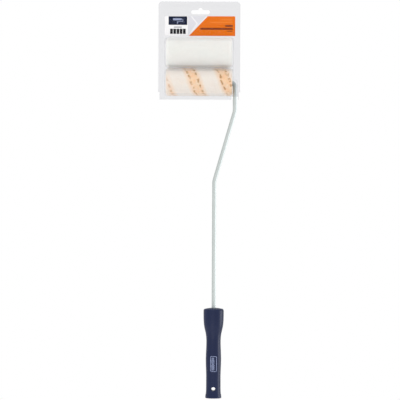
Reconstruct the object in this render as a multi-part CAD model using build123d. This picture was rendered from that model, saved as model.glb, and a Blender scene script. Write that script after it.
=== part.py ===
"""Long-reach mini paint roller with a spare sleeve, in its clear clamshell pack.

The origin is the centre of the handle's butt end. +Z runs up the handle and the wire,
+X towards the side that the wire bends out to, and -Y towards the front of the pack.
The roller and the spare sleeve both turn about lines along X in the plane y = 0, which
is also where the two halves of the pack meet.
"""
from build123d import *
import os

# ---------------------------------------------------------------- driving dimensions, mm
# Handle: a round moulding with a flared butt, a belly, a waist and a wide head.
handle_length = 133.8
butt_radius = 11.95
butt_height = 5.6
butt_edge = 1.2
butt_groove = 0.4
neck_radius = 10.7
neck_low_share = 0.16
neck_high_share = 0.26
belly_radius = 11.35
belly_share = 0.43
waist_radius = 10.6
waist_share = 0.60
flare_radius = 11.45
flare_share = 0.71
shoulder_radius = 13.9
shoulder_share = 0.795
head_radius = 15.0
head_share = 0.86
head_taper = 0.25
head_edge = 3.0
head_dome = 1.4
handle_socket_depth = 72.0
hang_hole_radius = 3.0
hang_hole_height = 13.8
hang_hole_bevel = 0.9

# Wire: one steel rod, cranked sideways and then bent square into the sleeve.
wire_radius = 3.0
lower_straight = 187.1
crank_rise = 103.7
crank_offset = 30.0
upper_straight = 43.4
crank_bend = 22.0
square_bend = 7.5
wire_tip_chamfer = 0.6
ear_length = 3.6
ear_gap = 0.5
ear_spread = 1.5
ear_thickness = 2.6

# Sleeves: the pile one on the wire, and the foam one that is spare.
sleeve_length = 98.0
core_radius = 8.0
core_wall = 1.25
pile_radius = 20.3
pile_edge = 4.0
foam_radius = 22.1
foam_edge = 5.0
plug_rim = 1.5
plug_depth = 6.0
plug_wall = 1.2
sleeve_to_wire_gap = 1.2
sleeve_to_sleeve_gap = 1.0

# Cage: two hubs joined by a ribbed barrel, held on the wire by a push-on nut.
hub_bearing_length = 9.0
hub_flange = 2.0
hub_spigot_radius = 5.1
barrel_wall = 1.0
rib_count = 6
rib_thickness = 1.2
washer_radius = 6.0
washer_thickness = 0.8
nut_radius = 5.6
nut_thickness = 0.5
nut_slots = 6
nut_slot_width = 0.8
nut_slot_length = 1.2
wire_tip_past_nut = 2.0
cage_end_gap = 4.0

# Fits, all per side.
running_clearance = 0.05
grip_clearance = 0.02
thrust_play = 0.15

# Pack: two thin halves with a hump over each sleeve and a channel for the wire.
film = 0.5
parting_gap = 0.1
hump_clearance = 0.6
hump_end_clearance = 1.9
hump_edge = 2.5
bridge_depth = 7.0
channel_clearance = 0.7
flange_side = 9.0
flange_wire_side = 3.5
flange_bottom = 4.7
pack_corner = 5.5
hinge_strip_height = 10.7
hinge_strip_inset = 1.8
hinge_strip_straight = 0.2
notch_height = 4.6
notch_clearance = 1.2
card_gap = 1.6
card_height = 29.2
card_side_margin = 9.4
card_thickness = 0.4
card_pocket_clearance = 0.7
card_pocket_depth = 1.2
card_pocket_corner = 1.0
header_top_band = 21.7
bead_radius = 1.0
bead_below_top = 6.6
bead_side_margin = 7.0
slot_above_card = 6.1
slot_offset = 1.5
slot_width = 27.8
slot_height = 6.1
slot_bump_width = 6.6
slot_bump_rise = 3.3

# ---------------------------------------------------------------- derived places
wire_start = handle_length - handle_socket_depth
crank_start = handle_length + lower_straight
crank_end = crank_start + crank_rise
roller_axis = crank_end + upper_straight

sleeve_right = crank_offset - wire_radius - sleeve_to_wire_gap
sleeve_left = sleeve_right - sleeve_length
core_outer = core_radius + core_wall
core_left = sleeve_left + plug_rim
spare_axis = roller_axis + pile_radius + sleeve_to_sleeve_gap + foam_radius

bearing_radius = wire_radius + running_clearance
ear_right = crank_offset - square_bend - ear_gap
ear_left = ear_right - ear_length
inner_washer_left = ear_left - washer_thickness
cage_right = inner_washer_left - thrust_play
wire_tip = core_left + plug_depth + cage_end_gap
nut_left = wire_tip + wire_tip_past_nut
outer_washer_left = nut_left + nut_thickness
cage_left = outer_washer_left + washer_thickness + thrust_play

hump_left = sleeve_left - hump_end_clearance
hump_right = sleeve_right + hump_end_clearance
roller_hump = pile_radius + hump_clearance
spare_hump = foam_radius + hump_clearance
channel_radius = wire_radius + channel_clearance
pack_left = hump_left - film - flange_side
pack_right = crank_offset + channel_radius + film + flange_wire_side
pack_middle = (pack_left + pack_right) / 2
pack_bottom = roller_axis - roller_hump - film - flange_bottom
card_bottom = spare_axis + spare_hump + film + card_gap
card_top = card_bottom + card_height
card_left = pack_left + card_side_margin
card_right = pack_right - card_side_margin + flange_wire_side / 2
pack_top = card_top + header_top_band
slot_middle = card_top + slot_above_card
slot_centre = pack_middle + slot_offset


# ---------------------------------------------------------------- helpers
def bar(radius, x_low, x_high, z):
    """A round bar along X whose axis is in the plane y = 0."""
    middle = Pos((x_low + x_high) / 2, 0, z)
    return middle * Rot(0, 90, 0) * Cylinder(radius, x_high - x_low)


def tube(outer, inner, x_low, x_high, z):
    """A tube along X."""
    return bar(outer, x_low, x_high, z) - bar(inner, x_low, x_high, z)


def block(x_low, x_high, y_low, y_high, z_low, z_high):
    """A box from its lowest corner to its highest."""
    middle = Pos((x_low + x_high) / 2, (y_low + y_high) / 2, (z_low + z_high) / 2)
    return middle * Box(x_high - x_low, y_high - y_low, z_high - z_low)


def end_circles(solid, x):
    """The round edges of a bar or tube in the plane across X at x."""
    return [edge for edge in solid.edges().filter_by(GeomType.CIRCLE) if abs(edge.center().X - x) < 1e-4]


def save(solid, name):
    """Write one piece as parts/NAME.step."""
    solid.label = name
    export_step(solid, os.path.join("parts", name + ".step"))


# ---------------------------------------------------------------- handle and wire
def make_handle():
    """Turned outline with a blind socket for the wire and a hole to hang it by."""
    edge_start = butt_radius - butt_edge
    side_top = handle_length - head_dome - head_edge
    rim_radius = butt_radius - butt_groove
    stations = [
        (rim_radius - butt_groove, butt_height + butt_groove),
        (neck_radius, neck_low_share * handle_length),
        (neck_radius, neck_high_share * handle_length),
        (belly_radius, belly_share * handle_length),
        (waist_radius, waist_share * handle_length),
        (flare_radius, flare_share * handle_length),
        (shoulder_radius, shoulder_share * handle_length),
        (head_radius - head_taper, head_share * handle_length),
        (head_radius, side_top),
    ]
    top_start = (head_radius - head_edge, side_top + head_edge)
    corner = head_edge * (1 - 0.5 ** 0.5)
    dome_half = (top_start[0] / 2, handle_length - head_dome / 4)
    outline = [
        Line((0, 0), (edge_start, 0)),
        RadiusArc((edge_start, 0), (butt_radius, butt_edge), -butt_edge),
        Line((butt_radius, butt_edge), (rim_radius, butt_height)),
        Line((rim_radius, butt_height), stations[0]),
        Spline(*stations, tangents=[(-butt_groove, 4), (0, 1)]),
        ThreePointArc(stations[-1], (head_radius - corner, side_top + head_edge - corner), top_start),
        ThreePointArc(top_start, dome_half, (0, handle_length)),
        Line((0, handle_length), (0, 0)),
    ]
    handle = revolve(make_face(Plane.XZ * Curve(outline)), Axis.Z)
    upwards = (Align.CENTER, Align.CENTER, Align.MIN)
    socket = Pos(0, 0, wire_start) * Cylinder(wire_radius, handle_length, align=upwards)
    hole = Pos(0, 0, hang_hole_height) * Rot(90, 0, 0) * Cylinder(hang_hole_radius, 4 * butt_radius)
    handle = handle - socket - hole
    countersink = Cone(hang_hole_radius + 2 * hang_hole_bevel, hang_hole_radius, 2 * hang_hole_bevel)
    for side in (-1, 1):
        handle = handle - Pos(0, side * neck_radius, hang_hole_height) * Rot(side * 90, 0, 0) * countersink
    return handle


def make_wire():
    """The rod with both cranks, the square bend and the flattened ears that stop the cage."""
    route = FilletPolyline(
        (0, 0, wire_start),
        (0, 0, crank_start),
        (crank_offset, 0, crank_end),
        (crank_offset, 0, roller_axis),
        (wire_tip, 0, roller_axis),
        radius=[crank_bend, crank_bend, square_bend],
    )
    section = Plane(origin=(0, 0, wire_start), z_dir=(0, 0, 1)) * Circle(wire_radius)
    wire = sweep(section, path=route)
    wire = chamfer(end_circles(wire, wire_tip), wire_tip_chamfer)
    spread = wire_radius + ear_spread
    half = ear_thickness / 2
    ears = block(ear_left, ear_right, -spread, spread, roller_axis - half, roller_axis + half)
    ears = fillet(ears.edges().filter_by(Axis.Z), ear_length / 3)
    return wire + ears


# ---------------------------------------------------------------- cage
def make_washer(x_low):
    return tube(washer_radius, bearing_radius, x_low, x_low + washer_thickness, roller_axis)


def make_push_nut():
    """A thin spring-steel disc whose slotted inner edge bites on the wire."""
    nut = tube(nut_radius, wire_radius, nut_left, nut_left + nut_thickness, roller_axis)
    reach = wire_radius + nut_slot_length
    half = nut_slot_width / 2
    for step in range(nut_slots):
        slot = block(nut_left - 1, nut_left + nut_thickness + 1, -half, half, 0, reach)
        nut = nut - Pos(0, 0, roller_axis) * Rot(360 * step / nut_slots, 0, 0) * slot
    return nut


def make_hub(flange_end, inward):
    """A bearing hub: a flange as wide as the core, and a spigot that fits in the barrel.

    flange_end is the outer face of the flange, and inward is 1 or -1, the way that the spigot points.
    """
    flange_inside = flange_end + inward * hub_flange
    spigot_end = flange_inside + inward * hub_bearing_length
    low = min(flange_end, spigot_end)
    high = max(flange_end, spigot_end)
    flange_low = min(flange_end, flange_inside)
    hub = bar(core_radius - grip_clearance, flange_low, flange_low + hub_flange, roller_axis)
    hub = hub + bar(hub_spigot_radius, low, high, roller_axis)
    return hub - bar(bearing_radius, low - 1, high + 1, roller_axis)


def make_barrel():
    """The ribbed barrel between the hub flanges."""
    low = cage_left + hub_flange
    high = cage_right - hub_flange
    inner = hub_spigot_radius + grip_clearance
    barrel = bar(inner + barrel_wall, low, high, roller_axis)
    rib_top = core_radius - grip_clearance
    for step in range(rib_count):
        rib = block(low, high, -rib_thickness / 2, rib_thickness / 2, inner, rib_top + 1)
        barrel = barrel + Pos(0, 0, roller_axis) * Rot(360 * step / rib_count, 0, 0) * rib
    barrel = barrel & bar(rib_top, low, high, roller_axis)
    return barrel - bar(inner, low - 1, high + 1, roller_axis)


# ---------------------------------------------------------------- sleeves
def make_core(z):
    return tube(core_outer, core_radius, core_left, sleeve_right, z)


def make_cover(radius, edge, z):
    """Pile or foam: a thick tube with rounded ends."""
    cover = bar(radius, sleeve_left, sleeve_right, z)
    cover = fillet(end_circles(cover, sleeve_left) + end_circles(cover, sleeve_right), edge)
    return cover - bar(core_outer, sleeve_left - 1, sleeve_right + 1, z)


def make_plug(z):
    """The cup that closes the outer end of a core."""
    plug = bar(core_outer, sleeve_left, core_left, z)
    plug = plug + bar(core_radius - grip_clearance, core_left, core_left + plug_depth, z)
    hollow = core_radius - grip_clearance - plug_wall
    return plug - bar(hollow, core_left, core_left + plug_depth + 1, z)


# ---------------------------------------------------------------- pack
def hump(radius, edge, left, right, z):
    """A round bar with rounded ends, as long as the space over a sleeve."""
    form = bar(radius, left, right, z)
    return fillet(end_circles(form, left) + end_circles(form, right), edge)


def front_form(grow):
    """The space under the front half's humps and channel, grown outwards by a wall."""
    left = hump_left - grow
    right = hump_right + grow
    edge = hump_edge + grow
    form = hump(roller_hump + grow, edge, left, right, roller_axis)
    form = form + hump(spare_hump + grow, edge, left, right, spare_axis)
    depth = bridge_depth + grow
    bridge = block(left, right, -depth, depth, roller_axis, spare_axis)
    form = form + fillet(bridge.edges().filter_by(Axis.Z), edge)
    form = form + channel(grow)
    bead_z = pack_top - bead_below_top
    form = form + bar(bead_radius + grow, pack_left + bead_side_margin, pack_right - bead_side_margin, bead_z)
    reach = 2 * roller_hump
    return form & block(left - reach, right + reach, -reach, -parting_gap, pack_bottom - 2, pack_top)


def channel(grow):
    """Room for the wire: an upright run, a dome over it and an elbow into the roller's hump."""
    radius = channel_radius + grow
    low = pack_bottom if grow > 0 else pack_bottom - 1
    upright = Cylinder(radius, roller_axis - low, align=(Align.CENTER, Align.CENTER, Align.MIN))
    room = Pos(crank_offset, 0, low) * upright + Pos(crank_offset, 0, roller_axis) * Sphere(radius)
    elbow_left = hump_right - hump_edge
    elbow_low = roller_axis - square_bend - wire_radius
    elbow = bar(radius, elbow_left, crank_offset, roller_axis)
    return room + elbow + block(elbow_left, crank_offset, -radius, radius, elbow_low - grow, roller_axis)


def card_pocket(grow):
    """The shallow tray over the card, in front of the parting plane."""
    side = card_pocket_clearance + grow
    depth = parting_gap + card_pocket_depth + grow
    low = card_bottom - side
    high = card_top + side
    pocket = block(card_left - side, card_right + side, -depth, -parting_gap, low, high)
    return fillet(pocket.edges().filter_by(Axis.Y), card_pocket_corner + grow)


def hang_slot():
    """The hanging slot through the header: a long slot with a round bump on top."""
    reach = 4 * film
    slot = SlotOverall(slot_width, slot_height)
    bump = Pos(0, slot_height / 2 + slot_bump_rise - slot_bump_width / 2) * Circle(slot_bump_width / 2)
    return extrude(Plane.XZ * Pos(slot_centre, slot_middle) * (slot + bump), reach, both=True)


def flange():
    """The flat rim of the front half, with the narrower hinge strip along its bottom edge."""
    strip_top = pack_bottom + hinge_strip_height
    back = -parting_gap
    rim = block(pack_left, pack_right, back - film, back, strip_top, pack_top)
    strip_left = pack_left + hinge_strip_inset
    strip_right = pack_right - hinge_strip_inset
    strip = block(strip_left, strip_right, back - film, back, pack_bottom, strip_top)
    corners = rim.edges().filter_by(Axis.Y).group_by(Axis.Z)[-1]
    rim = fillet(corners, pack_corner)
    lower = rim.edges().filter_by(Axis.Y).group_by(Axis.Z)[0]
    return fillet(lower, hinge_strip_inset - hinge_strip_straight) + strip


def notch():
    """The way out for the wire at the hinge edge, high enough for a half to swing past it."""
    half = channel_radius + notch_clearance
    reach = 2 * roller_hump
    top = pack_bottom + notch_height
    return block(crank_offset - half, crank_offset + half, -reach, reach, pack_bottom - 1, top)


def make_pack_half(with_pocket):
    """The front half, with its tray for the card, or the plain one that the back is mirrored from."""
    half = flange() + front_form(film)
    if with_pocket:
        half = half + card_pocket(film)
    half = half - front_form(0)
    if with_pocket:
        half = half - card_pocket(0)
    return half - hang_slot() - notch()


def make_card():
    """The printed card that lies in the front tray."""
    front = -(parting_gap + card_pocket_depth - grip_clearance)
    return block(card_left, card_right, front, front + card_thickness, card_bottom, card_top)


# ---------------------------------------------------------------- build
def main():
    os.makedirs("parts", exist_ok=True)
    pieces = {
        "handle": make_handle(),
        "wire": make_wire(),
        "inner_washer": make_washer(inner_washer_left),
        "outer_washer": make_washer(outer_washer_left),
        "push_nut": make_push_nut(),
        "cage_inner_hub": make_hub(cage_right, -1),
        "cage_outer_hub": make_hub(cage_left, 1),
        "cage_barrel": make_barrel(),
        "sleeve_core": make_core(roller_axis),
        "sleeve_pile": make_cover(pile_radius, pile_edge, roller_axis),
        "sleeve_end_plug": make_plug(roller_axis),
        "spare_core": make_core(spare_axis),
        "spare_foam": make_cover(foam_radius, foam_edge, spare_axis),
        "spare_end_plug": make_plug(spare_axis),
        "pack_front": make_pack_half(True),
        "pack_back": mirror(make_pack_half(False), about=Plane.XZ),
        "header_card": make_card(),
    }
    for name, solid in pieces.items():
        save(solid, name)


main()
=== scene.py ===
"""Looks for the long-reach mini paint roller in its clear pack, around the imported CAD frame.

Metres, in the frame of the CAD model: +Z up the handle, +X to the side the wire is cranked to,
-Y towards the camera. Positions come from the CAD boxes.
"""
import math
import random

import bmesh
import bpy
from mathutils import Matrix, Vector, noise
from mathutils.bvhtree import BVHTree


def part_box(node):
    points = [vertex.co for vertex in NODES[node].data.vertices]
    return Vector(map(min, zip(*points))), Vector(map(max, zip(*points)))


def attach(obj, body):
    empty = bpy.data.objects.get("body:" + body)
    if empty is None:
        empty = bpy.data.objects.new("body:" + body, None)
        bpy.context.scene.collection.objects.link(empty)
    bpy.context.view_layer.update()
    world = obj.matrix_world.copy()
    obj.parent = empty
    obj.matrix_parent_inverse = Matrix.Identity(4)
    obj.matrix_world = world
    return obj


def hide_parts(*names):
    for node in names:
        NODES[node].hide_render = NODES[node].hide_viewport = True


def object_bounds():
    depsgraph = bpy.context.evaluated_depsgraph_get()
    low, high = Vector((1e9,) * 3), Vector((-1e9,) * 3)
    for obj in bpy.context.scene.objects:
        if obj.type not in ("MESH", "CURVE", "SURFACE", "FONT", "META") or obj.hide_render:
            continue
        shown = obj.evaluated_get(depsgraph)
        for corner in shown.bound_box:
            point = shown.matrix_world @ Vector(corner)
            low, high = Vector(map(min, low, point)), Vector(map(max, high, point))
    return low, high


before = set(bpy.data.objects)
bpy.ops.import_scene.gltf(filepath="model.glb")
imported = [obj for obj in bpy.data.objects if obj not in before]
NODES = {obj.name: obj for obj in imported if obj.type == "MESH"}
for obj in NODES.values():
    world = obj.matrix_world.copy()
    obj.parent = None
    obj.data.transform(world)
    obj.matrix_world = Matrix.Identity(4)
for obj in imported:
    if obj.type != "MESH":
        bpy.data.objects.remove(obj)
cad_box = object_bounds()

MM = 0.001

# The helical stripe of the pile: its pitch, its width along X, where it crosses the front, how far
# its soft edge reaches to each side of that width, and how far from the sleeve's left end it is worn.
STRIPE_PITCH = 46.0 * MM
STRIPE_WIDTH = 21.0 * MM
STRIPE_FRONT_X = -29.6 * MM
STRIPE_SOFT_INSIDE = 5.5 * MM
STRIPE_SOFT_OUTSIDE = 3.0 * MM
STRIPE_FADE = 13.0 * MM

# Its two rows of flecks: their distance from the stripe's middle, their number and their width.
FLECK_OFFSET = 6.0 * MM
FLECKS_PER_TURN = 15
FLECK_WIDTH = 2.6 * MM

# The soft covers: the spacing of their mesh points, their rounded edges, and the pile's fibres.
COVER_SPACING = 0.6 * MM
PILE_EDGE = 4 * MM
FOAM_EDGE = 5 * MM
TUFTS = 11000
TUFT_REACH = 0.45 * MM

# Prints: their two layers in front of the card, the points of an outline, and how far ink stands up.
PRINT_BASE = 0.006 * MM
PRINT_OVER = 0.012 * MM
PRINT_DEPTH = 0.02 * MM
CORNER_STEPS = 6
STROKE_STEP = 0.8 * MM
STROKE_PROUD = 0.04
STROKE_SUNK = -0.03

# The stage, in metres: the floor's radius and its distance below the tool.
FLOOR_RADIUS = 1.6
FLOOR_DROP = 0.25


# ---------------------------------------------------------------- node helpers
class Nodes:
    """A material's node tree, with short calls for the nodes that the materials share."""

    def __init__(self, name):
        self.mat = bpy.data.materials.new(name)
        self.mat.use_nodes = True
        self.tree = self.mat.node_tree
        self.tree.nodes.clear()
        self.out = self.add("ShaderNodeOutputMaterial")
        self.coords = self.add("ShaderNodeTexCoord").outputs["Object"]

    def add(self, kind, **values):
        node = self.tree.nodes.new(kind)
        for key, value in values.items():
            setattr(node, key, value)
        return node

    def link(self, source, target):
        self.tree.links.new(source, target)

    def feed(self, socket, value):
        if isinstance(value, bpy.types.NodeSocket):
            self.link(value, socket)
        else:
            socket.default_value = value

    def math(self, operation, a, b=0.0):
        node = self.add("ShaderNodeMath", operation=operation)
        for socket, value in zip(node.inputs, (a, b)):
            self.feed(socket, value)
        return node.outputs[0]

    def xyz(self):
        node = self.add("ShaderNodeSeparateXYZ")
        self.link(self.coords, node.inputs[0])
        return node.outputs

    def scaled(self, scale):
        node = self.add("ShaderNodeVectorMath", operation="MULTIPLY")
        self.link(self.coords, node.inputs[0])
        node.inputs[1].default_value = scale
        return node.outputs[0]

    def noise(self, per_metre, detail, vector=None):
        node = self.add("ShaderNodeTexNoise")
        self.link(vector or self.coords, node.inputs["Vector"])
        node.inputs["Scale"].default_value = per_metre
        node.inputs["Detail"].default_value = detail
        return node.outputs["Fac"]

    def voronoi(self, per_metre):
        node = self.add("ShaderNodeTexVoronoi")
        self.link(self.coords, node.inputs["Vector"])
        node.inputs["Scale"].default_value = per_metre
        return node.outputs["Distance"]

    def span(self, value, low, high, to_low=0.0, to_high=1.0):
        node = self.add("ShaderNodeMapRange")
        self.feed(node.inputs["Value"], value)
        ends = {"From Min": low, "From Max": high, "To Min": to_low, "To Max": to_high}
        for key, number in ends.items():
            node.inputs[key].default_value = number
        return node.outputs[0]

    def blend(self, factor, a, b):
        node = self.add("ShaderNodeMix", data_type="RGBA")
        self.feed(node.inputs[0], factor)
        self.feed(node.inputs[6], a)
        self.feed(node.inputs[7], b)
        return node.outputs[2]

    def bump(self, height, distance, strength, normal=None):
        node = self.add("ShaderNodeBump")
        self.link(height, node.inputs["Height"])
        node.inputs["Distance"].default_value = distance
        node.inputs["Strength"].default_value = strength
        if normal is not None:
            self.link(normal, node.inputs["Normal"])
        return node.outputs[0]

    def principled(self, **values):
        node = self.add("ShaderNodeBsdfPrincipled")
        for key, value in values.items():
            self.feed(node.inputs[key.replace("_", " ")], value)
        return node.outputs[0]

    def finish(self, shader):
        self.link(shader, self.out.inputs["Surface"])
        return self.mat


def srgb(red, green, blue):
    """A colour given as 8-bit display values, as the linear RGBA that the shaders take."""
    shares = (red / 255, green / 255, blue / 255)
    return tuple(v / 12.92 if v <= 0.04045 else ((v + 0.055) / 1.055) ** 2.4 for v in shares) + (1.0,)


# ---------------------------------------------------------------- materials
def handle_material():
    """Navy moulded plastic, satin, with the faint flow of the moulding in colour and gloss."""
    n = Nodes("navy_moulded_plastic")
    flow = n.noise(60, 3, n.scaled((1, 1, 0.25)))
    grain = n.noise(2600, 2)
    colour = n.blend(flow, srgb(6, 22, 60), srgb(11, 28, 68))
    rough = n.span(n.math("ADD", flow, n.math("MULTIPLY", grain, 0.4)), 0.3, 1.1, 0.33, 0.44)
    normal = n.bump(grain, 0.03 * MM, 0.5, n.bump(flow, 0.12 * MM, 0.4))
    shader = n.principled(Base_Color=colour, Roughness=rough, Normal=normal, Specular_IOR_Level=0.36)
    return n.finish(shader)


def wire_material():
    """Zinc-plated wire: fine draw lines along it and slightly cloudy plating."""
    n = Nodes("zinc_plated_wire")
    cloud = n.noise(45, 2)
    lines = n.noise(1500, 2, n.scaled((1, 1, 0.02)))
    colour = n.blend(cloud, srgb(214, 222, 219), srgb(228, 233, 231))
    rough = n.span(lines, 0.3, 0.7, 0.57, 0.61)
    normal = n.bump(lines, 0.006 * MM, 0.1)
    return n.finish(n.principled(Base_Color=colour, Metallic=1.0, Roughness=rough, Normal=normal))


def steel_material(name, dark, light):
    """Pressed steel for the washers and the nut: stamped grain and a little tarnish."""
    n = Nodes(name)
    grain = n.noise(1500, 3)
    colour = n.blend(n.noise(300, 2), dark, light)
    rough = n.span(grain, 0.3, 0.7, 0.25, 0.42)
    normal = n.bump(grain, 0.02 * MM, 0.6)
    return n.finish(n.principled(Base_Color=colour, Metallic=1.0, Roughness=rough, Normal=normal))


def white_plastic(name, colour_a, colour_b):
    """Natural polypropylene, a little waxy."""
    n = Nodes(name)
    cloud = n.noise(120, 3)
    rough = n.span(n.noise(900, 2), 0.3, 0.7, 0.38, 0.52)
    normal = n.bump(cloud, 0.05 * MM, 0.4)
    shader = n.principled(
        Base_Color=n.blend(cloud, colour_a, colour_b),
        Roughness=rough,
        Normal=normal,
        Subsurface_Weight=0.15,
        Subsurface_Scale=0.8 * MM,
    )
    return n.finish(shader)


def film_material():
    """Clear film: a faint grey tint that fades, and a gloss that grows, at a glancing angle."""
    n = Nodes("clear_film")
    normal = n.bump(n.noise(35, 2), 0.4 * MM, 0.3)
    weight = n.add("ShaderNodeLayerWeight")
    weight.inputs["Blend"].default_value = 0.2
    n.link(normal, weight.inputs["Normal"])
    clear = n.add("ShaderNodeBsdfTransparent")
    turned = n.span(weight.outputs["Facing"], 0.35, 0.8)
    tint = n.blend(turned, (0.950, 0.950, 0.954, 1.0), (0.99, 0.99, 0.99, 1.0))
    n.link(tint, clear.inputs["Color"])
    gloss = n.principled(Base_Color=srgb(216, 218, 222), Roughness=0.16, Normal=normal)
    amount = n.span(weight.outputs["Fresnel"], 0.0, 1.0, 0.006, 0.12)
    mix = n.add("ShaderNodeMixShader")
    n.link(amount, mix.inputs[0])
    n.link(clear.outputs[0], mix.inputs[1])
    n.link(gloss, mix.inputs[2])
    return n.finish(mix.outputs[0])


def stripe_angle(n, axis_z):
    """How far round the sleeve's axis a point lies, in turns: 0 in front, growing upwards."""
    _, y, z = n.xyz()
    up = n.math("SUBTRACT", z, axis_z)
    forward = n.math("MULTIPLY", y, -1.0)
    return n.math("DIVIDE", n.math("ARCTAN2", up, forward), 2 * math.pi)


def pile_material(axis_z, left):
    """White knitted pile with one helical stripe: a peach band with two rows of brown flecks."""
    n = Nodes("striped_pile")
    turns = stripe_angle(n, axis_z)
    x = n.xyz()[0]
    wander = n.math("MULTIPLY", n.math("SUBTRACT", n.noise(260, 2), 0.5), 3.0 * MM)
    along = n.math("ADD", n.math("ADD", x, wander), n.math("MULTIPLY", turns, STRIPE_PITCH))
    start = n.math("SUBTRACT", along, STRIPE_FRONT_X - STRIPE_PITCH / 2)
    phase = n.math("FRACT", n.math("DIVIDE", start, STRIPE_PITCH))
    off = n.math("MULTIPLY", n.math("SUBTRACT", phase, 0.5), STRIPE_PITCH)
    away = n.math("ABSOLUTE", off)
    inside = STRIPE_WIDTH / 2 - STRIPE_SOFT_INSIDE
    outside = STRIPE_WIDTH / 2 + STRIPE_SOFT_OUTSIDE
    band = n.span(away, inside, outside, 1.0, 0.0)
    stray = n.math("MULTIPLY", n.math("SUBTRACT", n.noise(150, 1), 0.5), 4.0 * MM)
    from_row = n.math("ABSOLUTE", n.math("SUBTRACT", n.math("ADD", away, stray), FLECK_OFFSET))
    fleck_row = n.span(from_row, 0.3 * FLECK_WIDTH, 0.9 * FLECK_WIDTH, 1.0, 0.0)
    side = n.math("MULTIPLY", n.math("GREATER_THAN", off, 0.0), 0.5)
    uneven = n.math("MULTIPLY", n.noise(110, 1), 1.4)
    count = n.math("ADD", n.math("MULTIPLY", turns, FLECKS_PER_TURN), uneven)
    beat = n.math("FRACT", n.math("ADD", count, side))
    fleck_gap = n.span(n.math("ABSOLUTE", n.math("SUBTRACT", beat, 0.5)), 0.20, 0.40, 1.0, 0.0)
    flecks = n.math("MULTIPLY", fleck_row, fleck_gap)
    flecks = n.math("MULTIPLY", flecks, n.span(n.noise(300, 2), 0.34, 0.5))
    worn = n.span(x, left, left + STRIPE_FADE, 0.2, 1.0)
    band = n.math("MULTIPLY", band, worn)
    flecks = n.math("MULTIPLY", flecks, worn)
    tuft = n.noise(700, 3)
    white = n.blend(tuft, srgb(245, 232, 220), srgb(255, 248, 241))
    peach = n.blend(n.noise(260, 2), srgb(255, 200, 158), srgb(255, 228, 192))
    patchy = n.span(n.noise(240, 2), 0.3, 0.55, 0.6, 1.0)
    colour = n.blend(n.math("MULTIPLY", band, patchy), white, peach)
    colour = n.blend(n.math("MULTIPLY", flecks, 0.9), colour, srgb(196, 150, 98))
    normal = n.bump(tuft, 0.5 * MM, 0.5, n.bump(n.noise(2400, 2), 0.12 * MM, 0.5))
    shader = n.principled(
        Base_Color=colour,
        Roughness=0.92,
        Normal=normal,
        Specular_IOR_Level=0.1,
        Sheen_Weight=0.4,
        Sheen_Roughness=0.5,
        Subsurface_Weight=0.5,
        Subsurface_Radius=(1.0, 0.9, 0.82),
        Subsurface_Scale=2.2 * MM,
    )
    return n.finish(shader)


def foam_material():
    """Fine open-cell white foam: round pores in the bump, and painted shade inside them: a slightly darker
    tone.
    """
    n = Nodes("white_foam")
    cells = n.voronoi(1500)
    pores = n.span(cells, 0.1, 0.55)
    cloud = n.noise(70, 3)
    colour = n.blend(cloud, srgb(240, 241, 236), srgb(247, 247, 243))
    # Painted shade: the pores are darkened in the colour, as shade falling inside them.
    colour = n.blend(pores, srgb(218, 219, 212), colour)
    normal = n.bump(pores, 0.18 * MM, 0.55, n.bump(cloud, 0.6 * MM, 0.35))
    shader = n.principled(
        Base_Color=colour,
        Roughness=0.95,
        Normal=normal,
        Specular_IOR_Level=0.08,
        Sheen_Weight=0.3,
        Subsurface_Weight=0.85,
        Subsurface_Radius=(1.0, 0.92, 0.9),
        Subsurface_Scale=8 * MM,
    )
    return n.finish(shader)


def mark_ink():
    """Pale pad-printed ink, worn through in specks."""
    n = Nodes("pale_worn_ink")
    wear = n.noise(1100, 3)
    colour = n.blend(n.span(wear, 0.38, 0.6), srgb(92, 104, 140), srgb(158, 170, 204))
    normal = n.bump(wear, 0.01 * MM, 0.4)
    rough = n.span(wear, 0.3, 0.7, 0.4, 0.55)
    return n.finish(n.principled(Base_Color=colour, Roughness=rough, Normal=normal))


def ink(name, colour, shade):
    """Printed ink on coated card: a faint roller texture in the colour and the gloss."""
    n = Nodes(name)
    tooth = n.noise(1400, 2)
    rough = n.span(tooth, 0.3, 0.7, 0.32, 0.46)
    normal = n.bump(tooth, 0.015 * MM, 0.4)
    colour = n.blend(tooth, colour, shade)
    shader = n.principled(Base_Color=colour, Roughness=rough, Normal=normal, Specular_IOR_Level=0.12)
    return n.finish(shader)


# ---------------------------------------------------------------- mesh helpers
def new_piece(name, bm, material, body, smooth=True):
    """A finished mesh as an object with one material, riding on a body."""
    bmesh.ops.recalc_face_normals(bm, faces=bm.faces)
    mesh = bpy.data.meshes.new(name)
    bm.to_mesh(mesh)
    bm.free()
    mesh.polygons.foreach_set("use_smooth", [smooth] * len(mesh.polygons))
    mesh.materials.append(material)
    piece = bpy.data.objects.new(name, mesh)
    bpy.context.scene.collection.objects.link(piece)
    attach(piece, body)
    return piece


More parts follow.
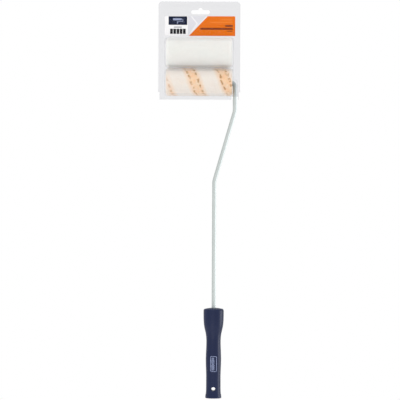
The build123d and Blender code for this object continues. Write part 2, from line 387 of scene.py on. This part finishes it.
# ---------------------------------------------------------------- soft covers
class Cover:
    """A thick soft tube on a core along X, in the space of its CAD solid, with rounded edges."""

    def __init__(self, node, core, edge):
        low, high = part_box(node)
        self.left = low[0]
        self.right = high[0]
        self.axis_z = (low[2] + high[2]) / 2
        self.radius = (high[2] - low[2]) / 2
        self.core = core
        self.edge = edge

    def half_section(self, spacing):
        """(x, radius, outward x, outward r, freedom) from the core at the left end to the middle."""
        face = self.radius - self.edge - self.core
        face_steps = round(face / spacing)
        edge_steps = round(self.edge * math.pi / 2 / spacing)
        side = (self.right - self.left) / 2 - self.edge
        side_steps = round(side / spacing)
        half = []
        for step in range(face_steps):
            r = self.core + face * step / face_steps
            half.append((self.left, r, -1.0, 0.0, step / face_steps))
        for step in range(edge_steps):
            turn = math.pi / 2 * step / edge_steps
            x = self.left + self.edge * (1 - math.cos(turn))
            r = self.radius - self.edge * (1 - math.sin(turn))
            half.append((x, r, -math.cos(turn), math.sin(turn), 1.0))
        for step in range(side_steps):
            x = self.left + self.edge + side * step / side_steps
            half.append((x, self.radius, 0.0, 1.0, 1.0))
        return half

    def section(self, spacing):
        """Both halves, and back through the bore in eight steps."""
        half = self.half_section(spacing)
        ends = self.left + self.right
        middle = [(ends / 2, self.radius, 0.0, 1.0, 1.0)]
        other = [(ends - x, r, -nx, nr, free) for x, r, nx, nr, free in reversed(half[1:])]
        back = self.left - self.right
        bore = [(self.right + back * i / 8, self.core, 0.0, -1.0, 0.0) for i in range(8)]
        return half + middle + other + bore

    def place(self, x, r, turn):
        """The point at radius r and x along the cover, turned up from its front."""
        return Vector((x, -r * math.cos(turn), self.axis_z + r * math.sin(turn)))

    def mesh(self, spacing, push):
        """The closed skin, each point moved outwards by push(point) as far as it is free to."""
        around = round(2 * math.pi * self.radius / spacing)
        section = self.section(spacing)
        bm = bmesh.new()
        rings = []
        for x, r, nx, nr, free in section:
            ring = []
            for step in range(around):
                turn = 2 * math.pi * step / around
                point = self.place(x, r, turn)
                if free > 0:
                    out = self.place(nx, nr, turn) - Vector((0, 0, self.axis_z))
                    point += out * push(point) * free
                ring.append(bm.verts.new(point))
            rings.append(ring)
        for ring, after in zip(rings, rings[1:] + rings[:1]):
            for j in range(around):
                k = (j + 1) % around
                bm.faces.new((ring[j], after[j], after[k], ring[k]))
        return bm

    def add_tufts(self, bm, count, push, reach, rng):
        """Short tapered fibres standing on the skin, each a closed spike, none past the radius reach."""
        spots = [spot for spot in self.section(0.5 * MM) if spot[4] > 0.3]
        for _ in range(count):
            x, r, nx, nr, _ = spots[rng.randrange(len(spots))]
            turn = rng.uniform(0, 2 * math.pi)
            out = self.place(nx, nr, turn) - Vector((0, 0, self.axis_z))
            foot = self.place(x + rng.uniform(-0.25, 0.25) * MM, r, turn)
            foot += out * (push(foot) - 0.12 * MM)
            lean = Vector((rng.gauss(0, 1), rng.gauss(0, 1), rng.gauss(0, 1))) * 0.45
            tip = foot + (out + lean).normalized() * rng.uniform(0.45, 0.85) * MM
            above = max(0.0, math.hypot(tip.y, tip.z - self.axis_z) - reach)
            round_axis = math.atan2(tip.z - self.axis_z, -tip.y)
            tip -= self.place(0, above, round_axis) - self.place(0, 0, 0)
            width = rng.uniform(0.11, 0.2) * MM
            side = out.orthogonal().normalized() * width
            across = out.cross(side)
            base = [foot + side, foot - side / 2 + across * 0.87, foot - side / 2 - across * 0.87]
            corners = [bm.verts.new(p) for p in base]
            top = bm.verts.new(tip)
            bm.faces.new(corners)
            for i in range(3):
                bm.faces.new((corners[i], corners[(i + 1) % 3], top))


def pile_push(point):
    """Knitted pile: soft waves, tufts a couple of millimetres wide, and their broken tops."""
    waves = noise.noise(point * 130)
    tufts = noise.noise(point * 420 + Vector((7, 3, 1)))
    tops = noise.noise(point * 1100)
    return (0.16 * waves + 0.26 * tufts + 0.14 * tops) * MM


def foam_push(point):
    """Cut foam: a nearly even surface with small open cells."""
    waves = noise.noise(point * 60)
    cell = noise.voronoi(point * 850)[0][0]
    return (0.14 * waves - 0.3 * max(0.0, 0.42 - cell)) * MM


def core_radius(node):
    """The outside of a core, which the cover's bore lies on."""
    low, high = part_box(node)
    return (high[2] - low[2]) / 2


def make_pile():
    cover = Cover("sleeve_pile", core_radius("sleeve_core"), PILE_EDGE)
    bm = cover.mesh(COVER_SPACING, pile_push)
    cover.add_tufts(bm, TUFTS, pile_push, cover.radius + TUFT_REACH, random.Random(21))
    material = pile_material(cover.axis_z, cover.left)
    piece = new_piece("knitted_pile", bm, material, "roller")
    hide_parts("sleeve_pile")


def make_foam():
    cover = Cover("spare_foam", core_radius("spare_core"), FOAM_EDGE)
    bm = cover.mesh(COVER_SPACING, foam_push)
    piece = new_piece("foam_cover", bm, foam_material(), "spare_sleeve")
    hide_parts("spare_foam")


# ---------------------------------------------------------------- prints
def plate(bm, outline, front, back):
    """A flat closed plate from an outline of (x, z) points, between two depths."""
    near = [bm.verts.new((x, front, z)) for x, z in outline]
    far = [bm.verts.new((x, back, z)) for x, z in outline]
    bm.faces.new(near)
    bm.faces.new(far[::-1])
    for i in range(len(near)):
        k = (i + 1) % len(near)
        bm.faces.new((near[i], near[k], far[k], far[i]))


def rounded(left, right, low, high, corner):
    """The outline of a rectangle with round corners."""
    centres = ((right, high, 0), (left, high, 90), (left, low, 180), (right, low, 270))
    outline = []
    for x, z, start in centres:
        cx = x - math.copysign(corner, x - (left + right) / 2)
        cz = z - math.copysign(corner, z - (low + high) / 2)
        for step in range(CORNER_STEPS + 1):
            turn = math.radians(start + 90 * step / CORNER_STEPS)
            outline.append((cx + corner * math.cos(turn), cz + corner * math.sin(turn)))
    return outline


def rectangle(left, right, low, high):
    return [(left, low), (right, low), (right, high), (left, high)]


def make_card_print():
    """The header's generic layout, measured from the card's edges: badge, blocks, band, panel, bars."""
    low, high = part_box("header_card")
    left, right, bottom, top = low[0], high[0], low[2], high[2]
    front = low[1]
    base = front - PRINT_BASE
    over = front - PRINT_OVER
    height = top - bottom

    def print_on(name, outlines, depth, material):
        bm = bmesh.new()
        for outline in outlines:
            plate(bm, outline, depth, front + PRINT_DEPTH)
        new_piece(name, bm, material, "front_half", smooth=False)

    def chevron(x, width, reach):
        """An arrow stripe pointing right: its tip at 62% of the card's height, its foot at 20%."""
        tip = bottom + 0.62 * height
        foot = bottom + 0.2 * height
        outer = [(x, top), (x + width, top), (x + width + reach, tip)]
        return outer + [(x + width, foot), (x, foot), (x + reach, tip)]

    slant_top = left + 63.5 * MM
    slant_bottom = left + 35.6 * MM
    band_left = left + 34.2 * MM
    edge_width = 1.6 * MM
    slant = [(slant_bottom, bottom), (slant_top, top)]
    orange = [slant[0], (right, bottom), (right, top), slant[1]]
    band = [(band_left, bottom), *slant, (band_left, top)]
    edge = [(slant_bottom - edge_width, bottom), *slant, (slant_top - edge_width, top)]
    orange_ink = ink("orange_ink", srgb(238, 118, 0), srgb(231, 111, 0))
    print_on("printed_orange_panel", [orange], base, orange_ink)
    grey_ink = ink("grey_ink", srgb(224, 225, 230), srgb(231, 231, 236))
    print_on("printed_grey_band", [band], base, grey_ink)
    white_ink = ink("white_ink", srgb(250, 250, 250), srgb(246, 246, 248))
    arrow = chevron(left + 38 * MM, 2.2 * MM, 9 * MM)
    print_on("printed_white_chevrons", [arrow, edge], over, white_ink)
    badge = rounded(left + 5.5 * MM, left + 33.1 * MM, top - 13 * MM, top - 0.3 * MM, 0.5 * MM)
    navy_ink = ink("navy_ink", srgb(24, 34, 62), srgb(18, 27, 54))
    print_on("printed_navy_badge", [badge], base, navy_ink)
    roller = [
        rounded(left + 12 * MM, left + 25 * MM, top - 6.2 * MM, top - 3.2 * MM, 1.0 * MM),
        rectangle(left + 25.4 * MM, left + 27 * MM, top - 5.1 * MM, top - 4.5 * MM),
        rectangle(left + 26.4 * MM, left + 27 * MM, top - 8.4 * MM, top - 5.0 * MM),
        rectangle(left + 18.6 * MM, left + 26.4 * MM, top - 8.4 * MM, top - 7.8 * MM),
        rectangle(left + 18.1 * MM, left + 19.3 * MM, top - 11.2 * MM, top - 7.8 * MM),
    ]
    pale_ink = ink("pale_ink", srgb(150, 162, 196), srgb(166, 176, 205))
    print_on("printed_roller_sign", roller, over, pale_ink)
    small = [rectangle(left + 13.5 * MM, left + 25.2 * MM, bottom + 12.2 * MM, bottom + 13.6 * MM)]
    soft_grey_ink = ink("soft_grey_ink", srgb(150, 152, 160), srgb(164, 166, 172))
    print_on("printed_grey_bar", small, base, soft_grey_ink)
    blocks = []
    for i in range(5):
        start = left + (7.9 + 4.75 * i) * MM
        end = left + (11.9 + 4.75 * i) * MM
        blocks.append(rectangle(start, end, bottom + 2.9 * MM, bottom + 10.5 * MM))
    black_ink = ink("black_ink", srgb(20, 22, 26), srgb(30, 32, 36))
    print_on("printed_black_blocks", blocks, base, black_ink)
    dark = [
        rectangle(right - 51.6 * MM, right - 3.7 * MM, bottom + 9.2 * MM, bottom + 12.0 * MM),
        rectangle(right - 14.8 * MM, right - 3.7 * MM, bottom + 13.6 * MM, bottom + 16.4 * MM),
        rectangle(right - 12.3 * MM, right - 4.3 * MM, bottom + 6.6 * MM, bottom + 7.8 * MM),
    ]
    brown_ink = ink("brown_ink", srgb(122, 52, 18), srgb(134, 60, 22))
    print_on("printed_dark_lines", dark, over, brown_ink)
    pale = [
        rectangle(right - 21.6 * MM, right - 4.3 * MM, top - 5.5 * MM, top - 4.5 * MM),
        rectangle(right - 37.6 * MM, right - 4.3 * MM, top - 9.5 * MM, top - 8.5 * MM),
    ]
    light_orange_ink = ink("light_orange_ink", srgb(246, 152, 62), srgb(244, 146, 54))
    print_on("printed_pale_lines", pale, over, light_orange_ink)


def front_of(node):
    """A function that gives the front of a CAD node at (x, z): the point and its outward direction."""
    tree = BVHTree.FromObject(NODES[node], bpy.context.evaluated_depsgraph_get())

    def hit(x, z):
        point, normal, _, _ = tree.ray_cast(Vector((x, -1, z)), Vector((0, 1, 0)))
        if normal.y > 0:
            normal = -normal
        return point, normal

    return hit


def stroke(bm, points, width, surface, closed=False):
    """A printed line along (x, z) points that follows a surface: a thin closed ribbon on it."""
    section = [(-1, STROKE_PROUD), (0, STROKE_PROUD), (1, STROKE_PROUD), (1, STROKE_SUNK), (-1, STROKE_SUNK)]
    rows = []
    count = len(points)
    for i, (x, z) in enumerate(points):
        before = points[(i - 1) % count] if closed or i > 0 else points[i]
        after = points[(i + 1) % count] if closed or i < count - 1 else points[i]
        along = Vector((after[0] - before[0], after[1] - before[1])).normalized()
        row = []
        for side, lift in section:
            point, normal = surface(x - along.y * side * width / 2, z + along.x * side * width / 2)
            row.append(bm.verts.new(point + normal * lift * MM))
        rows.append(row)
    pairs = list(zip(rows, rows[1:] + rows[:1])) if closed else list(zip(rows, rows[1:]))
    for row, following in pairs:
        for j in range(len(section)):
            k = (j + 1) % len(section)
            bm.faces.new((row[j], row[k], following[k], following[j]))
    if not closed:
        bm.faces.new(rows[0][::-1])
        bm.faces.new(rows[-1])


def line_points(start, end):
    """Points along a straight line, about a stroke's step apart."""
    span = Vector(end) - Vector(start)
    count = max(1, round(span.length / STROKE_STEP))
    return [tuple(Vector(start) + span * i / count) for i in range(count + 1)]


def dense(outline):
    """The same closed outline with points about a stroke's step apart."""
    points = []
    for start, end in zip(outline, outline[1:] + outline[:1]):
        points += line_points(start, end)[:-1]
    return points


def make_handle_mark():
    """A generic printed mark low on the handle: a rounded frame round a ladder of short strokes."""
    surface = front_of("handle")
    bm = bmesh.new()
    low, high = 39.9 * MM, 62.2 * MM
    left, right = -4.3 * MM, 4.5 * MM
    corner = 1.5 * MM
    frame_width = 0.75 * MM
    rung_width = 0.8 * MM
    rung_gap = 1.35 * MM
    rung_x = -0.9 * MM
    stroke(bm, dense(rounded(left, right, low, high, corner)), frame_width, surface, closed=True)
    rng = random.Random(5)
    z = low + 2.4 * MM
    while z < high - 2.2 * MM:
        reach = rng.uniform(1.5, 2.5) * MM
        stroke(bm, line_points((rung_x - reach, z), (rung_x + reach, z)), rung_width, surface)
        z += rung_gap
    new_piece("printed_handle_mark", bm, mark_ink(), "frame", smooth=False)


# ---------------------------------------------------------------- stage, light, camera
def make_stage(centre):
    """A wide pale floor below the held tool, which fades out towards its rim."""
    bm = bmesh.new()
    bmesh.ops.create_circle(bm, cap_ends=True, segments=96, radius=FLOOR_RADIUS)
    mesh = bpy.data.meshes.new("floor")
    bm.to_mesh(mesh)
    bm.free()
    floor = bpy.data.objects.new("floor", mesh)
    floor.location = (centre.x, 0.0, cad_box[0][2] - FLOOR_DROP)
    bpy.context.scene.collection.objects.link(floor)
    n = Nodes("pale_floor")
    tone = n.blend(n.noise(3, 3), srgb(240, 240, 240), srgb(245, 245, 245))
    x, y, _ = n.xyz()
    reach = n.math("SQRT", n.math("ADD", n.math("MULTIPLY", x, x), n.math("MULTIPLY", y, y)))
    fade = n.add("ShaderNodeMixShader")
    n.link(n.span(reach, 0.35 * FLOOR_RADIUS, FLOOR_RADIUS), fade.inputs[0])
    n.link(n.principled(Base_Color=tone, Roughness=0.8), fade.inputs[1])
    n.link(n.add("ShaderNodeBsdfTransparent").outputs[0], fade.inputs[2])
    floor.data.materials.append(n.finish(fade.outputs[0]))


def make_world():
    """White behind the tool, even white light all round, and a dimmer room in the reflections."""
    world = bpy.data.worlds.new("studio")
    bpy.context.scene.world = world
    world.use_nodes = True
    tree = world.node_tree
    tree.nodes.clear()
    out = tree.nodes.new("ShaderNodeOutputWorld")
    path = tree.nodes.new("ShaderNodeLightPath")

    def background(red, green, blue, strength):
        node = tree.nodes.new("ShaderNodeBackground")
        node.inputs["Color"].default_value = (red, green, blue, 1.0)
        node.inputs["Strength"].default_value = strength
        return node.outputs[0]

    def choose(ray, otherwise, chosen):
        mix = tree.nodes.new("ShaderNodeMixShader")
        tree.links.new(path.outputs[ray], mix.inputs[0])
        tree.links.new(otherwise, mix.inputs[1])
        tree.links.new(chosen, mix.inputs[2])
        return mix.outputs[0]

    light = background(1.0, 0.985, 0.97, 1.12)
    reflected = background(0.99, 0.99, 1.0, 0.68)
    lit = choose("Is Glossy Ray", light, reflected)
    tree.links.new(choose("Is Camera Ray", lit, background(1, 1, 1, 1)), out.inputs["Surface"])


def area_light(name, place, target, width, height, watts, colour=(1, 1, 1)):
    """A rectangular lamp at a place, turned towards a target, in metres and watts."""
    data = bpy.data.lights.new(name, "AREA")
    data.shape = "RECTANGLE"
    data.size = width
    data.size_y = height
    data.energy = watts
    data.color = colour
    lamp = bpy.data.objects.new(name, data)
    lamp.location = place
    lamp.rotation_euler = (Vector(target) - Vector(place)).to_track_quat("-Z", "Y").to_euler()
    bpy.context.scene.collection.objects.link(lamp)
    return lamp


def make_lights(centre):
    """A tall cool strip at the right, seen only in reflections, and soft fills from the front and above."""
    beside = centre + Vector((1.50, 0.10, -0.10))
    below_middle = centre + Vector((0, 0, -0.1))
    key = area_light("key_strip", beside, below_middle, 0.36, 0.95, 7, (0.93, 0.95, 1.0))
    key.visible_diffuse = False
    area_light("upper_fill", centre + Vector((-0.4, -1.8, 1.4)), centre, 1.5, 1.0, 5)
    area_light("lower_fill", centre + Vector((-0.4, -1.9, -1.1)), centre, 1.5, 1.0, 8)
    area_light("top_fill", centre + Vector((0.1, -0.4, 1.6)), centre, 1.2, 1.0, 1)


def make_camera(centre):
    """Level with the middle of the tool and straight in front of it, a few metres away."""
    distance = 3.4
    frame_width = 0.5925
    aside = 0.0020
    below = 0.0003
    roll = math.radians(-0.26)
    data = bpy.data.cameras.new("camera")
    data.sensor_width = 36.0
    data.lens = data.sensor_width * distance / frame_width
    data.clip_end = 20.0
    camera = bpy.data.objects.new("camera", data)
    camera.location = (centre.x + aside, -distance, centre.z - below)
    camera.rotation_euler = (math.radians(90), roll, 0)
    bpy.context.scene.collection.objects.link(camera)
    bpy.context.scene.camera = camera


bpy.context.scene.view_settings.view_transform = "Standard"
low, high = cad_box
centre = Vector(((low[0] + high[0]) / 2, 0.0, (low[2] + high[2]) / 2))
make_stage(centre)
make_world()
make_lights(centre)
make_camera(centre)

# ---------------------------------------------------------------- dress
plain = {
    "handle": handle_material(),
    "wire": wire_material(),
    "inner_washer": steel_material("washer_steel", srgb(176, 180, 182), srgb(205, 208, 208)),
    "push_nut": steel_material("spring_steel", srgb(92, 97, 104), srgb(128, 132, 138)),
    "cage_barrel": white_plastic("cage_plastic", srgb(214, 218, 218), srgb(228, 230, 229)),
    "sleeve_core": white_plastic("core_plastic", srgb(206, 208, 204), srgb(222, 222, 218)),
    "sleeve_end_plug": white_plastic("plug_plastic", srgb(226, 227, 224), srgb(238, 238, 235)),
    "sleeve_pile": white_plastic("pile_backing", srgb(236, 228, 216), srgb(244, 238, 228)),
    "spare_foam": white_plastic("foam_backing", srgb(240, 241, 236), srgb(246, 246, 242)),
    "pack_front": film_material(),
    "header_card": ink("card_stock", srgb(251, 251, 251), srgb(255, 255, 255)),
}
same = {
    "outer_washer": "inner_washer",
    "cage_inner_hub": "cage_barrel",
    "cage_outer_hub": "cage_barrel",
    "spare_core": "sleeve_core",
    "spare_end_plug": "sleeve_end_plug",
    "pack_back": "pack_front",
}
for name, node in NODES.items():
    node.data.materials.clear()
    node.data.materials.append(plain[same.get(name, name)])

make_pile()
make_foam()
make_card_print()
make_handle_mark()
